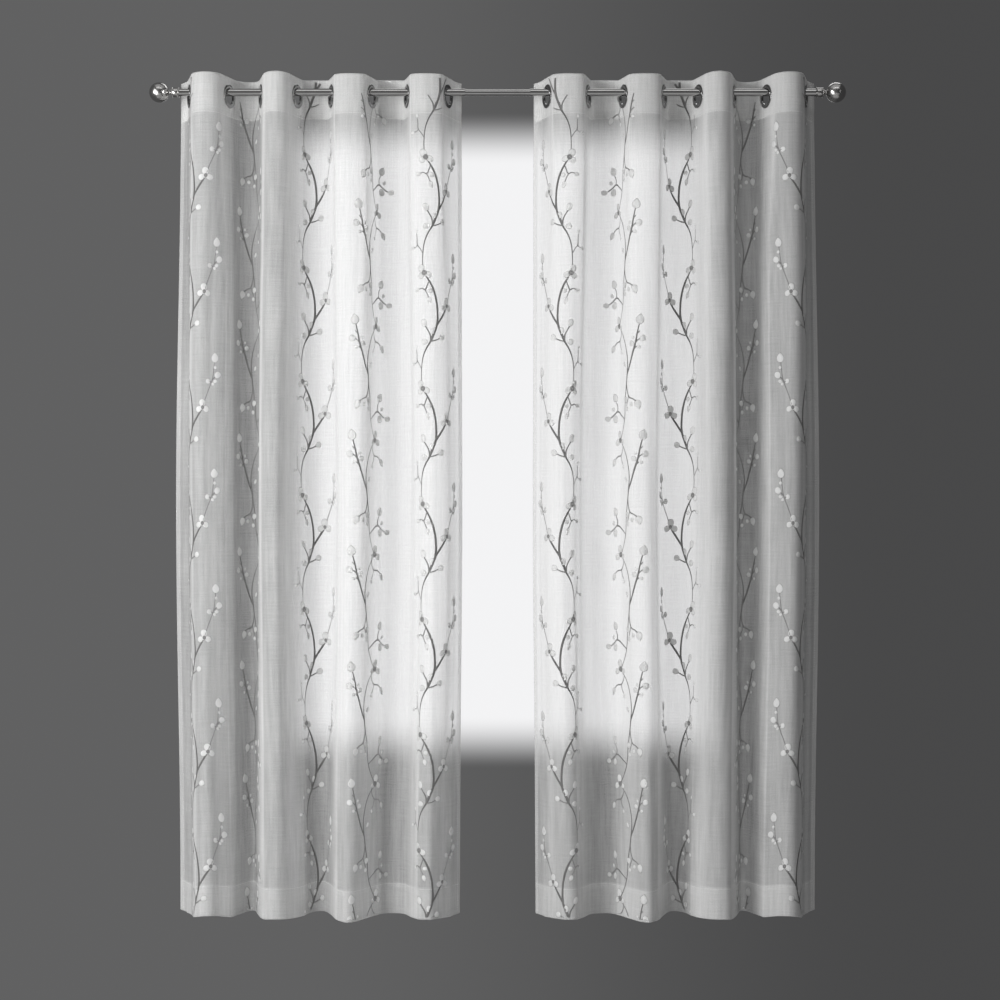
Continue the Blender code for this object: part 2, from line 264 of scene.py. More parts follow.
voileLook = {
    "opacity": 0.47,
    "opacitySwing": 0.20,
    "troughAt": 0.045,
    "ridgeAt": -0.050,
    "ridgeSwing": 0.12,
    "edgeFrom": 0.72,
    "edgeTo": 0.45,
    "edgeGain": 0.30,
    "slubs": 0.4,
    "light": (0.84, 0.84, 0.835, 1.0),
    "dark": (0.78, 0.78, 0.775, 1.0),
    "threadPitch": 0.0008,
}
headingLook = {
    "threadPitch": 0.0011,
    "slubs": 0.15,
    "light": (0.61, 0.61, 0.606, 1.0),
    "dark": (0.57, 0.57, 0.566, 1.0),
    # The trough colour is painted light, a lighter base colour where light from behind would come through
    "troughPaintedLight": (0.84, 0.84, 0.835, 1.0),
}
stemLook = {"thread": (0.26, 0.258, 0.255, 1.0), "rim": (0.10, 0.098, 0.095, 1.0)}
petalLook = {"thread": (0.80, 0.80, 0.795, 1.0), "rim": (0.40, 0.40, 0.40, 1.0)}
metalLook = {
    "rod": {"clean": (0.52, 0.515, 0.51, 1.0), "worn": (0.42, 0.415, 0.41, 1.0), "roughness": 0.06},
    "finial": {"clean": (0.54, 0.53, 0.52, 1.0), "worn": (0.44, 0.435, 0.43, 1.0), "roughness": 0.24},
    "eyelet": {"clean": (0.42, 0.42, 0.42, 1.0), "worn": (0.31, 0.31, 0.31, 1.0), "roughness": 0.20},
}


# 1 on the ridges towards the room and 0 in the troughs
def ridgeMask(tree):
    places = tree.nodes["Texture Coordinate"].outputs["Object"]
    parts = addNode(tree, "ShaderNodeSeparateXYZ", i0=places)
    return mapped(tree, parts.outputs[1], voileLook["troughAt"], voileLook["ridgeAt"])


def voileMaterial():
    values = {
        "Thread pitch": voileLook["threadPitch"],
        "Slubs": voileLook["slubs"],
        "Opacity": voileLook["opacity"],
        "Opacity swing": voileLook["opacitySwing"],
        "Light thread": voileLook["light"],
        "Dark thread": voileLook["dark"],
    }
    fixed = {"Roughness": 0.85, "Sheen Weight": 0.25, "Sheen Roughness": 0.4, "Specular IOR Level": 0.2}
    material, tree, shader, effect = newMaterial("voile", clothWeave, "UV", values, fixed)
    # Ridges towards the room are denser than the troughs, and fold edges denser again
    ridge = ridgeMask(tree)
    normals = tree.nodes["Texture Coordinate"].outputs["Normal"]
    parts = addNode(tree, "ShaderNodeSeparateXYZ", i0=normals)
    turned = calc(tree, "ABSOLUTE", parts.outputs[1])
    edge = mapped(tree, turned, voileLook["edgeFrom"], voileLook["edgeTo"])
    edge = calc(tree, "MULTIPLY", edge, calc(tree, "MULTIPLY", ridge, ridge))
    density = calc(tree, "MULTIPLY", calc(tree, "SUBTRACT", ridge, 0.5), voileLook["ridgeSwing"])
    density = calc(tree, "ADD", density, calc(tree, "MULTIPLY", edge, voileLook["edgeGain"]))
    opacity = calc(tree, "ADD", effect.outputs["Opacity"], density, clamp=True)
    tree.links.new(opacity, shader.inputs["Alpha"])
    addBump(tree, shader, effect.outputs["Height"], 0.25, 0.0004)
    return material


def headingMaterial():
    values = {
        "Thread pitch": headingLook["threadPitch"],
        "Slubs": headingLook["slubs"],
        "Light thread": headingLook["light"],
        "Dark thread": headingLook["dark"],
    }
    fixed = {"Roughness": 0.9, "Sheen Weight": 0.15, "Specular IOR Level": 0.2}
    material, tree, shader, effect = newMaterial("heading cloth", clothWeave, "UV", values, fixed)
    # Painted light: the troughs get a lighter base colour that stands in for light from the window side
    # coming through them
    colour = mixColours(tree, ridgeMask(tree), headingLook["troughPaintedLight"], effect.outputs["Colour"])
    tree.links.new(colour, shader.inputs["Base Color"])
    addBump(tree, shader, effect.outputs["Height"], 0.15, 0.0003)
    return material


def threadMaterial(name, look, roughness, sheen):
    values = {"Thread": look["thread"], "Rim shade": look["rim"]}
    fixed = {"Roughness": roughness, "Sheen Weight": sheen, "Specular IOR Level": 0.5}
    material, tree, shader, effect = newMaterial(name, satinStitch, "UV", values, fixed)
    rim = addNode(tree, "ShaderNodeAttribute", {"attribute_name": "rim"})
    tree.links.new(rim.outputs["Fac"], effect.inputs["Rim"])
    addBump(tree, shader, effect.outputs["Height"], 0.5, 0.0003)
    return material


def metalMaterial(name, look, stretch, bump):
    values = {
        "Stretch": stretch,
        "Clean": look["clean"],
        "Worn": look["worn"],
        "Roughness": look["roughness"],
    }
    material, tree, shader, effect = newMaterial(name, drawnMetal, "Object", values, {"Metallic": 1.0})
    tree.links.new(effect.outputs["Roughness"], shader.inputs["Roughness"])
    addBump(tree, shader, effect.outputs["Height"], bump, 0.0002)
    return material


voile = voileMaterial()
headingCloth = headingMaterial()
stemThread = threadMaterial("stem thread", stemLook, 0.45, 0.1)
petalThread = threadMaterial("petal thread", petalLook, 0.38, 0.3)
rodMetal = metalMaterial("rod pewter", metalLook["rod"], (4.0, 900.0, 900.0), 0.02)
finialMetal = metalMaterial("finial pewter", metalLook["finial"], (40.0, 200.0, 200.0), 0.02)
eyeletMetal = metalMaterial("eyelet nickel", metalLook["eyelet"], (300.0, 300.0, 300.0), 0.03)
showStage("materials made")


# The hang of one curtain, in sizes that count outwards from the middle of the rod

hang = {
    "width": 1.27,
    "length": 2.134,
    "topAboveRod": 0.038,
    "headingHeight": 0.102,
    "hemHeight": 0.079,
    "middleBelowRod": 1.0,
    "flatAtHeading": 0.0325,
    "flatBelow": 0.016,
    "edgeLean": radians(38),
    "foldSteps": 26,
    "tailSteps": 12,
    "roundings": 16,
}
rodSizes = {
    "tubeRadius": 0.0095,
    "tubeInnerEnd": 0.083,
    "tubeOuterEnd": 0.826,
    "sliderRadius": 0.008,
    "sliderEnd": 0.23,
    "wall": 0.0008,
}
eyeletSizes = {
    "radius": 0.030,
    "hole": 0.020,
    "seatGap": 0.0006,
    "clothHole": 0.0232,
    "clearOfStitches": 0.0245,
}

# Where the cloth crosses the line of the rod: its place and how steeply it runs front to back
Crossing = namedtuple("Crossing", "headingX middleX hemX headingLean middleLean hemLean")
crossings = (
    Crossing(0.127, 0.115, 0.117, 69, 70, 56),
    Crossing(0.230, 0.212, 0.229, 74, 80, 66),
    Crossing(0.321, 0.318, 0.316, 71, 68, 60),
    Crossing(0.423, 0.409, 0.421, 72, 82, 72),
    Crossing(0.511, 0.514, 0.498, 71, 66, 62),
    Crossing(0.602, 0.606, 0.608, 75, 84, 78),
    Crossing(0.684, 0.679, 0.667, 70, 66, 64),
    Crossing(0.784, 0.783, 0.778, 74, 82, 76),
)

# How far each fold reaches from the rod, how much its top edge rises and its hem drops;
# the first and last rows are the free edges
Fold = namedtuple("Fold", "headingDepth middleDepth hemDepth topRise hemDrop")
folds = (
    Fold(0.055, 0.040, 0.030, -0.004, 0.000),
    Fold(0.048, 0.044, 0.050, -0.001, -0.004),
    Fold(0.056, 0.052, 0.046, 0.006, 0.005),
    Fold(0.049, 0.050, 0.058, -0.001, 0.002),
    Fold(0.058, 0.058, 0.052, 0.006, 0.001),
    Fold(0.062, 0.062, 0.060, 0.002, -0.006),
    Fold(0.066, 0.064, 0.056, 0.003, 0.000),
    Fold(0.060, 0.060, 0.052, 0.001, -0.013),
    Fold(0.052, 0.048, 0.036, -0.005, -0.008),
)
innerEdge = (0.093, 0.092, 0.096)
outerEdge = (0.815, 0.827, 0.814)

# Soft ridges and troughs that run down the cloth, besides the folds
Crease = namedtuple("Crease", "across width height fromDown toDown slant")
creases = (
    Crease(1.095, 0.022, -0.0060, 0.20, 2.10, 0.000),
    Crease(1.050, 0.010, 0.0030, 0.30, 2.13, 0.004),
    Crease(1.244, 0.006, 0.0028, 0.16, 2.13, 0.000),
    Crease(1.222, 0.007, -0.0022, 0.30, 1.90, 0.002),
    Crease(0.975, 0.012, -0.0025, 0.14, 1.20, 0.006),
    Crease(0.800, 0.016, -0.0030, 0.50, 2.10, -0.004),
    Crease(0.760, 0.009, 0.0022, 0.18, 1.60, 0.003),
    Crease(0.690, 0.010, 0.0022, 0.60, 2.13, -0.005),
    Crease(0.600, 0.012, -0.0020, 0.20, 1.40, 0.004),
    Crease(0.470, 0.014, -0.0028, 0.35, 2.10, 0.003),
    Crease(0.420, 0.008, 0.0020, 0.16, 1.10, -0.004),
    Crease(0.335, 0.009, 0.0022, 0.80, 2.13, 0.004),
    Crease(0.270, 0.012, -0.0022, 0.20, 1.70, 0.000),
    Crease(0.160, 0.012, -0.0030, 0.25, 2.00, 0.005),
    Crease(0.122, 0.008, 0.0022, 0.40, 2.13, -0.004),
    Crease(0.040, 0.008, 0.0020, 0.30, 2.13, 0.003),
)
rippleSeed = 11
rippleCount = 26

top = hang["topAboveRod"]
headingFoot = top - hang["headingHeight"]
middle = -hang["middleBelowRod"]
bottom = top - hang["length"]
hemTop = bottom + hang["hemHeight"]
eyeletHeight = rodSizes["tubeRadius"] + eyeletSizes["seatGap"] - eyeletSizes["hole"]


def eased(share):
    share = np.clip(share, 0.0, 1.0)
    return share * share * (3 - 2 * share)


def atHeight(heading, mid, hem, z):
    # Constant through the heading, then eases to its middle and hem values.
    if z >= middle:
        return heading + (mid - heading) * float(eased((headingFoot - z) / (headingFoot - middle)))
    return mid + (hem - mid) * float(eased((middle - z) / (middle - bottom)))


def curvePoints(start, outHandle, backHandle, end, steps):
    t = np.linspace(0, 1, steps + 1)[1:, None]
    return (
        (1 - t) ** 3 * start
        + 3 * t * (1 - t) ** 2 * outHandle
        + 3 * t * t * (1 - t) * backHandle
        + t**3 * end
    )


def crossingsAt(z):
    found = []
    for index, row in enumerate(crossings):
        x = atHeight(row.headingX, row.middleX, row.hemX, z)
        lean = radians(atHeight(row.headingLean, row.middleLean, row.hemLean, z))
        towards = -1 if index % 2 == 0 else 1
        found.append((np.array((x, 0.0)), np.array((cos(lean), towards * sin(lean)))))
    return found


def sectionPath(z, fullness):
    # One level's path from the inner to the outer edge, and each point's share of its fold's shifts
    flat = atHeight(hang["flatAtHeading"], hang["flatBelow"], hang["flatBelow"], z)
    rows = crossingsAt(z)
    depths = [atHeight(f.headingDepth, f.middleDepth, f.hemDepth, z) for f in folds]
    lean = np.array((cos(hang["edgeLean"]), -sin(hang["edgeLean"])))
    foldSteps, tailSteps = hang["foldSteps"], hang["tailSteps"]
    shifts = np.array([(f.topRise, f.hemDrop) for f in folds])

    place, direction = rows[0]
    start = np.array((atHeight(*innerEdge, z), depths[0]))
    end = place - flat * direction
    reach = hypot(*(end - start)) * 0.38
    points = [start[None], curvePoints(start, start + lean * reach, end - direction * reach, end, tailSteps)]
    weights = [np.linspace(1, 0, tailSteps + 1)[:, None] * shifts[0]]
    for index in range(len(rows) - 1):
        place, direction = rows[index]
        nextPlace, nextDirection = rows[index + 1]
        start = place + flat * direction
        end = nextPlace - flat * nextDirection
        steep = (abs(direction[1]) + abs(nextDirection[1])) / 2
        reach = fullness * (depths[index + 1] - flat * steep) / (0.75 * steep)
        points.append(start[None])
        points.append(
            curvePoints(start, start + direction * reach, end - nextDirection * reach, end, foldSteps)
        )
        bulge = np.sin(pi * np.linspace(0, 1, foldSteps + 1))[:, None]
        weights.append(bulge * shifts[index + 1])
    place, direction = rows[-1]
    start = place + flat * direction
    end = np.array((atHeight(*outerEdge, z), depths[-1]))
    reach = hypot(*(end - start)) * 0.38
    back = end + np.array((-cos(hang["edgeLean"]), -sin(hang["edgeLean"]))) * reach
    points.append(start[None])
    points.append(curvePoints(start, start + direction * reach, back, end, tailSteps))
    weights.append(np.linspace(0, 1, tailSteps + 1)[:, None] * shifts[-1])
    return np.concatenate(points), np.concatenate(weights)


def arcLengths(path):
    steps = np.hypot(*np.diff(path, axis=0).T)
    return np.concatenate(((0.0,), np.cumsum(steps)))


def fullnessAt(z):
    low, high = 0.2, 3.0
    for _ in range(20):
        guess = (low + high) / 2
        if arcLengths(sectionPath(z, guess)[0])[-1] < hang["width"]:
            low = guess
        else:
            high = guess
    return (low + high) / 2


def rounded(values, share):
    # Evens out the corners of a section: share 0 leaves it and 1 rounds it over about 20 mm.
    even = values.copy()
    for _ in range(hang["roundings"]):
        even[1:-1] = (even[:-2] + 2 * even[1:-1] + even[2:]) / 4
    return values + (even - values) * share


def rippleField(across, down):
    # How far the cloth's creases and soft ripples push it towards the room.
    push = np.zeros(np.broadcast(across, down).shape)
    for crease in creases:
        centre = crease.across + crease.slant * (down - crease.fromDown)
        profile = np.exp(-(((across - centre) / crease.width) ** 2))
        fade = eased((down - crease.fromDown) / 0.35) * eased((crease.toDown + 0.3 - down) / 0.3)
        push += crease.height * profile * fade
    chance = np.random.default_rng(rippleSeed)
    for _ in range(rippleCount):
        place = chance.uniform(0.03, hang["width"] - 0.03)
        width = chance.uniform(0.008, 0.022)
        height = chance.uniform(-0.0016, 0.0016)
        middleDown = chance.uniform(0.2, 2.0)
        reach = chance.uniform(0.15, 0.5)
        centre = place + 0.006 * np.sin((down - middleDown) * chance.uniform(2, 6))
        profile = np.exp(-(((across - centre) / width) ** 2))
        push += height * profile * np.exp(-(((down - middleDown) / reach) ** 2))
    drift = 0.0014 * np.sin(across * 31 + 2.2 * np.sin(down * 2.3))
    drift = drift + 0.0010 * np.sin(across * 57 - down * 3.1)
    belowHeading = eased((down - hang["headingHeight"] - 0.012) / 0.16)
    return (push + drift) * belowHeading


def makeHangingSurface():
    # Places and normals over the flat cloth, row by row down it
    keyDowns = np.linspace(0, hang["length"], 24)
    keyFullness = [fullnessAt(top - down) for down in keyDowns]
    headingDowns = np.linspace(0, hang["headingHeight"], 21)
    downs = np.concatenate((headingDowns, np.linspace(hang["headingHeight"], hang["length"], 205)[1:]))
    acrosses = np.linspace(0, hang["width"], 256)
    shape = (len(downs), len(acrosses))
    x, y, z = np.zeros(shape), np.zeros(shape), np.zeros(shape)
    ripples = rippleField(acrosses[None, :], downs[:, None])
    for row, down in enumerate(downs):
        level = top - down
        path, shifts = sectionPath(level, np.interp(down, keyDowns, keyFullness))
        arcs = arcLengths(path)
        arcs *= hang["width"] / arcs[-1]
        share = float(eased((headingFoot - level) / 0.5))
        px = rounded(np.interp(acrosses, arcs, path[:, 0]), share)
        py = rounded(np.interp(acrosses, arcs, path[:, 1]), share)
        rise = np.interp(acrosses, arcs, shifts[:, 0]) * float(1 - eased((headingFoot - level) / 0.10))
        drop = np.interp(acrosses, arcs, shifts[:, 1]) * float(eased((middle - level) / (middle - hemTop)))
        tx, ty = np.gradient(px), np.gradient(py)
        size = np.hypot(tx, ty)
        x[row] = px + ty / size * ripples[row]
        y[row] = py - tx / size * ripples[row]
        z[row] = level + rise - drop
    tx, ty = np.gradient(x, axis=1), np.gradient(y, axis=1)
    size = np.hypot(tx, ty)
    return {"downs": downs, "acrosses": acrosses, "x": x, "y": y, "z": z, "nx": ty / size, "ny": -tx / size}


def onCloth(surface, across, down, height):
    # Where a point of the flat cloth hangs, height metres towards the room from its middle.
    across, down = np.asarray(across, dtype=float), np.asarray(down, dtype=float)
    acrosses, downs = surface["acrosses"], surface["downs"]
    inAcross = np.clip(across, acrosses[0], acrosses[-1])
    inDown = np.clip(down, downs[0], downs[-1])
    column = np.clip(np.searchsorted(acrosses, inAcross) - 1, 0, len(acrosses) - 2)
    row = np.clip(np.searchsorted(downs, inDown) - 1, 0, len(downs) - 2)
    s = (inAcross - acrosses[column]) / (acrosses[column + 1] - acrosses[column])
    t = (inDown - downs[row]) / (downs[row + 1] - downs[row])
    mixed = {}
    for key in ("x", "y", "z", "nx", "ny"):
        values = surface[key]
        upper = values[row, column] * (1 - s) + values[row, column + 1] * s
        lower = values[row + 1, column] * (1 - s) + values[row + 1, column + 1] * s
        mixed[key] = upper * (1 - t) + lower * t
    over = across - inAcross
    return np.stack(
        (
            mixed["x"] + mixed["nx"] * height - mixed["ny"] * over,
            mixed["y"] + mixed["ny"] * height + mixed["nx"] * over,
            mixed["z"] - (down - inDown),
        ),
        axis=-1,
    )


hangingSurface = makeHangingSurface()


def eyeletPlaces():
    # Each eyelet's place on the flat cloth, in the world, and the way its axis points.
    path, _ = sectionPath(top, fullnessAt(top))
    arcs = arcLengths(path)
    first = hang["tailSteps"]
    places = []
    for index, (place, direction) in enumerate(crossingsAt(top)):
        before = first + index * (hang["foldSteps"] + 1)
        across = (arcs[before] + arcs[before + 1]) / 2
        places.append((across, top - eyeletHeight, place, direction))
    return places


eyelets = eyeletPlaces()
showStage("cloth worked out")

# How the cloth's layers lie at the heading, the hems and the side hems
layers = {
    "front": 0.0006,
    "headingStrip": -0.0003,
    "headingBack": -0.0012,
    "hemGap": 0.0008,
    "sideHem": 0.013,
    "sideGap": 0.0007,
    "support": 0.0012,
    "turnIn": 0.012,
}


def foldedAcross():
    # Columns from the inner to the outer edge, with both side hems turned back.
    width, depth, gap, near = hang["width"], layers["sideHem"], -layers["sideGap"], layers["support"]
    turned = [(depth, gap), (depth * 0.6, gap), (near, gap), (-0.0003, gap / 2), (near, 0.0)]
    inside = [(value, 0.0) for value in hangingSurface["acrosses"][1:-1] if near < value < width - near]
    back = [(width - across, offset) for across, offset in reversed(turned)]
    return np.array(turned + inside + back)


def foldedDown():
    # Rows from the back of the heading, over the top, down the front and round the double hem.
    length, near = hang["length"], layers["support"]
    front, gap = layers["front"], layers["hemGap"]
    heading, hem = hang["headingHeight"], hang["hemHeight"]
    back = [(down, layers["headingBack"]) for down in np.linspace(heading, 0.006, 18)]
    rows = back + [(near, layers["headingBack"]), (-0.0008, layers["headingStrip"]), (near, front)]
    rows += [(down, front) for down in hangingSurface["downs"][1:-1] if near < down < length - near]
    rows += [(length - near, front), (length + 0.0005, front - gap)]
    hemRows = np.linspace(length - near, length - hem, 9)
    rows += [(down, front - 2 * gap) for down in hemRows]
    rows += [(length - hem - 0.0004, front - 1.5 * gap)]
    turnedIn = np.linspace(length - hem + near, length - hem + layers["turnIn"], 3)
    rows += [(down, front - gap) for down in turnedIn]
    return np.array(rows)


def punchedGrid(across, down, offset):
    # Faces of a grid with the eyelet holes left out, and the grid moved to make them round.
    rows, columns = across.shape
    index = np.arange(rows * columns).reshape(rows, columns)
    corners = (index[:-1, :-1], index[1:, :-1], index[1:, 1:], index[:-1, 1:])
    faces = np.stack(corners, axis=-1).reshape(-1, 4)
    across, down = across.ravel().copy(), down.ravel().copy()
    radius = eyeletSizes["clothHole"]
    for holeAcross, holeDown, _, _ in eyelets:
        centres = np.hypot(across[faces].mean(axis=1) - holeAcross, down[faces].mean(axis=1) - holeDown)
        inside = centres < radius
        rim = np.intersect1d(faces[inside].ravel(), faces[~inside].ravel())
        reach = np.hypot(across[rim] - holeAcross, down[rim] - holeDown)
        across[rim] = holeAcross + (across[rim] - holeAcross) * radius / reach
        down[rim] = holeDown + (down[rim] - holeDown) * radius / reach
        faces = faces[~inside]
    used, faces = np.unique(faces, return_inverse=True)
    return across[used], down[used], offset.ravel()[used], faces.reshape(-1, 4)


def mirrored(points, side):
    return points * np.array((side, 1.0, 1.0))


def facing(faces, side):
    return faces if side > 0 else faces[:, ::-1]


def makeVoile(sideName, side):
    columns, rows = foldedAcross(), foldedDown()
    across = np.broadcast_to(columns[:, 0], (len(rows), len(columns)))
    down = np.broadcast_to(rows[:, :1], across.shape)
    offset = rows[:, 1:] + columns[:, 1][None, :]
    across, down, offset, faces = punchedGrid(across, down, offset)
    points = mirrored(onCloth(hangingSurface, across, down, offset), side)
    name = f"voile_{sideName}"
    return meshPiece(name, points, facing(faces, side), voile, np.stack((across, -down), axis=-1))


def makeHeadingStrip(sideName, side):
    near = 0.0025
    acrosses = np.linspace(near, hang["width"] - near, 254)
    downs = np.linspace(0.0006, hang["headingHeight"] - 0.0015, 21)
    across, down = np.meshgrid(acrosses, downs)
    offset = np.full(across.shape, layers["headingStrip"])
    across, down, offset, faces = punchedGrid(across, down, offset)
    points = mirrored(onCloth(hangingSurface, across, down, offset), side)
    name = f"heading_strip_{sideName}"
    strip = meshPiece(name, points, facing(faces, side), headingCloth, np.stack((across, -down), axis=-1))
    solid = strip.modifiers.new("thickness", "SOLIDIFY")
    solid.thickness = 0.0006
    solid.offset = 0.0
    return strip


# Embroidery: two kinds of branch, charted in millimetres from a blossom's centre, right and down
repeatHeight = 0.2916
Stitching = namedtuple("Stitching", "stems petals")
Petal = namedtuple("Petal", "right down length width turn kind")

branchOne = Stitching(
    stems=(
        ((1, 3, 0.9), (9, 14, 1.6), (22, 36, 2.0), (32, 65, 2.2), (37, 100, 2.2), (36, 130, 2.5),
         (29, 151, 2.2), (20, 172, 1.9), (7, 194, 1.4), (-1, 217, 1.1), (-4, 243, 0.9), (-4, 270, 0.8),
         (-1, 287, 0.7)),
        ((35, 133, 2.0), (50, 112, 2.2), (67, 88, 1.8)),
        ((72, 78, 1.0), (79, 57, 0.9), (89, 35, 1.0), (99, 12, 1.1), (103, -14, 0.8), (105, -32, 0.6)),
        ((20, 172, 1.7), (18, 156, 1.4), (11, 143, 1.2), (5, 134, 0.8)),
        ((21, 168, 1.8), (26, 152, 1.2)),
        ((20, 173, 1.4), (32, 170, 1.3), (44, 165, 1.0)),
        ((-4, 243, 0.9), (-12, 230, 0.9), (-19, 221, 1.1), (-20, 206, 0.8), (-21, 194, 0.6)),
        ((-19, 221, 1.1), (-24, 227, 0.7), (-29, 228, 0.6)),
        ((12, 22, 1.2), (8, 33, 1.2), (3, 42, 1.4), (-5, 39, 0.9), (-14, 42, 0.7)),
        ((3, 42, 1.2), (8, 52, 0.9), (12, 61, 0.7)),
        ((98, 14, 1.1), (107, 5, 0.9)),
        ((96, 19, 1.1), (90, 16, 0.9)),
    ),
    petals=(
        Petal(-6, -10, 22, 17, 25, "petal"),
        Petal(10, 4, 20, 15, 235, "petal"),
        Petal(-8, 7, 17, 15, 130, "petal"),
        Petal(0, 0, 13, 13, 0, "knot"),
        Petal(69, 71, 21, 18, 4, "petal"),
        Petal(60, 86, 20, 16, 106, "petal"),
        Petal(80, 86, 20, 16, 252, "petal"),
        Petal(70, 82, 10, 9, 0, "knot"),
        Petal(106, -43, 24, 20, 0, "leaf"),
        Petal(107, -19, 9, 8, 0, "bud"),
        Petal(114, 0, 19, 17, 320, "petal"),
        Petal(86, 16, 15, 14, 60, "petal"),
        Petal(107, 16, 11, 9, 300, "bud"),
        Petal(101, 23, 9, 8, 60, "bud"),
        Petal(2, 126, 21, 14, 20, "petal"),
        Petal(51, 162, 17, 15, 290, "petal"),
        Petal(27, 146, 18, 12, 350, "petal"),
        Petal(4, 174, 16, 15, 80, "petal"),
        Petal(-18, 43, 13, 10, 100, "petal"),
        Petal(15, 69, 16, 10, 195, "leaf"),
        Petal(17, 45, 12, 11, 250, "bud"),
        Petal(-34, 229, 11, 8, 100, "bud"),
        Petal(-22, 187, 9, 6, 0, "bud"),
    ),
)
branchTwo = Stitching(
    stems=(
        ((-1, 4, 0.9), (-14, 15, 1.0), (-28, 32, 1.1), (-40, 62, 1.1), (-45, 95, 1.3), (-42, 124, 1.6),
         (-38, 152, 1.4), (-31, 190, 1.2), (-26, 238, 1.2), (-14, 268, 1.0), (-3, 286, 0.8)),
        ((-42, 126, 1.5), (-52, 104, 1.8), (-63, 74, 1.9), (-72, 46, 1.7), (-77, 22, 1.4), (-83, 0, 1.1)),
        ((-71, 48, 1.5), (-78, 40, 1.0), (-84, 36, 0.7)),
        ((-67, 62, 1.5), (-74, 56, 0.8)),
        ((-77, 24, 1.2), (-84, 17, 0.7)),
        ((-39, 150, 1.1), (-42, 170, 1.3), (-49, 184, 1.4), (-60, 188, 1.1), (-69, 194, 0.9)),
        ((-46, 180, 1.1), (-42, 194, 0.9), (-37, 206, 0.7)),
        ((-27, 240, 1.0), (-5, 227, 1.3), (14, 218, 1.6), (23, 223, 1.4), (33, 230, 1.3), (40, 234, 1.0)),
        ((14, 219, 1.4), (13, 206, 1.2), (19, 194, 1.0)),
        ((-14, 15, 0.8), (-10, 28, 1.1), (-1, 39, 1.3), (11, 41, 1.1), (22, 48, 0.8)),
        ((-2, 39, 1.1), (-6, 52, 0.9), (-12, 61, 0.7)),
    ),
    petals=(
        Petal(12, 5, 20, 15, 235, "petal"),
        Petal(3, -13, 22, 15, 350, "petal"),
        Petal(-9, 4, 15, 13, 115, "petal"),
        Petal(0, 0, 13, 13, 0, "knot"),
        Petal(-86, -12, 24, 22, 10, "leaf"),
        Petal(-91, 36, 18, 16, 70, "petal"),
        Petal(-61, 48, 14, 13, 290, "petal"),
        Petal(-80, 58, 9, 8, 60, "bud"),
        Petal(-66, 34, 8, 7, 340, "bud"),
        Petal(-74, 202, 21, 17, 165, "leaf"),
        Petal(-55, 202, 11, 10, 180, "bud"),
        Petal(-38, 213, 11, 10, 200, "bud"),
        Petal(-34, 190, 16, 14, 340, "petal"),
        Petal(22, 183, 21, 18, 335, "leaf"),
        Petal(48, 236, 16, 13, 280, "petal"),
        Petal(22, 237, 19, 17, 200, "petal"),
        Petal(30, 212, 11, 9, 320, "bud"),
        Petal(28, 57, 19, 13, 205, "leaf"),
        Petal(-14, 68, 10, 7, 190, "bud"),
        Petal(-30, 100, 14, 8, 330, "bud"),
    ),
)

# Where the branches run: their place across the cloth and how far below the rod a blossom sits
Column = namedtuple("Column", "across blossomDown design topShift")
branchColumns = (
    Column(0.147, 0.211, branchOne, 0.0),
    Column(0.352, 0.340, branchTwo, 0.0),
    Column(0.659, 0.1885, branchOne, 0.004),
    Column(0.898, 0.345, branchTwo, 0.0),
    Column(1.188, 0.177, branchOne, 0.020),
)
embroidery = {
    "stemHeight": 0.00045,
    "stemFullness": 1.25,
    "thinTip": 0.95,
    "tipFullness": 1.9,
    "petalHeight": 0.0004,
    "petalsFrom": 0.100,
    "knotLift": 0.0005,
    "edgeMargin": 0.004,
    "shiftDepth": 0.14,
    "millimetre": 0.001,
}


def finishMesh(obj, name):
    obj.name = name
    obj.data.name = name
    return obj


def curveStem(points):
    # A tapering thread line, drawn flat as a curve and turned into a mesh.
    unit = embroidery["millimetre"]
    deselectAll()
    bpy.ops.curve.primitive_bezier_curve_add(location=(0, 0, 0))
    obj = bpy.context.object
    curve = obj.data
    spline = curve.splines[0]
    spline.bezier_points.add(len(points) - 2)
    for point, (right, down, radius) in zip(spline.bezier_points, points):
        point.co = (right * unit, -down * unit, 0.0)
        point.radius = radius * embroidery["stemFullness"]
        point.handle_left_type = point.handle_right_type = "AUTO"
    tip = points[-1][2]
    if tip < embroidery["thinTip"]:
        spline.bezier_points[-1].radius = tip * embroidery["tipFullness"]
    curve.resolution_u = 4
    curve.bevel_depth = unit
    curve.bevel_resolution = 1
    curve.use_fill_caps = True
    bpy.ops.object.convert(target="MESH")
    return bpy.context.object


def meshArrays(obj):
    mesh = obj.data
    points = np.empty(len(mesh.vertices) * 3)
    mesh.vertices.foreach_get("co", points)
    return points.reshape(-1, 3), [tuple(p.vertices) for p in mesh.polygons]


def gathered(parts):
    # Joins (points, faces, uvs, rims) parts into one.
    points, faces, uvs, rims, count = [], [], [], [], 0
    for partPoints, partFaces, partUvs, partRims in parts:
        points.append(partPoints)
        uvs.append(partUvs)
        rims.append(partRims)
        faces += [tuple(i + count for i in face) for face in partFaces]
        count += len(partPoints)
    return np.concatenate(points), faces, np.concatenate(uvs), np.concatenate(rims)


def stemParts(design):
    parts = []
    for line in design.stems:
        obj = curveStem(line)
        points, faces = meshArrays(obj)
        bpy.data.objects.remove(obj)
        ridge = np.abs(points[:, 2])
        thickness = max(ridge.max(), 1e-6)
        points[:, 2] *= embroidery["stemHeight"] / thickness * np.clip(thickness / 0.0016, 0.6, 1.0)
        # Thick stems are darker than the twigs
        heavy = np.clip((thickness - 0.0013) / 0.0010, 0, 1)
        rim = np.clip(0.6 * (1 - ridge / thickness) + 0.55 * heavy, 0, 1)
        uvs = np.stack((points[:, 0], points[:, 0] * 0.4 + points[:, 1]), axis=-1)
        parts.append((points, faces, uvs, rim))
    return gathered(parts)


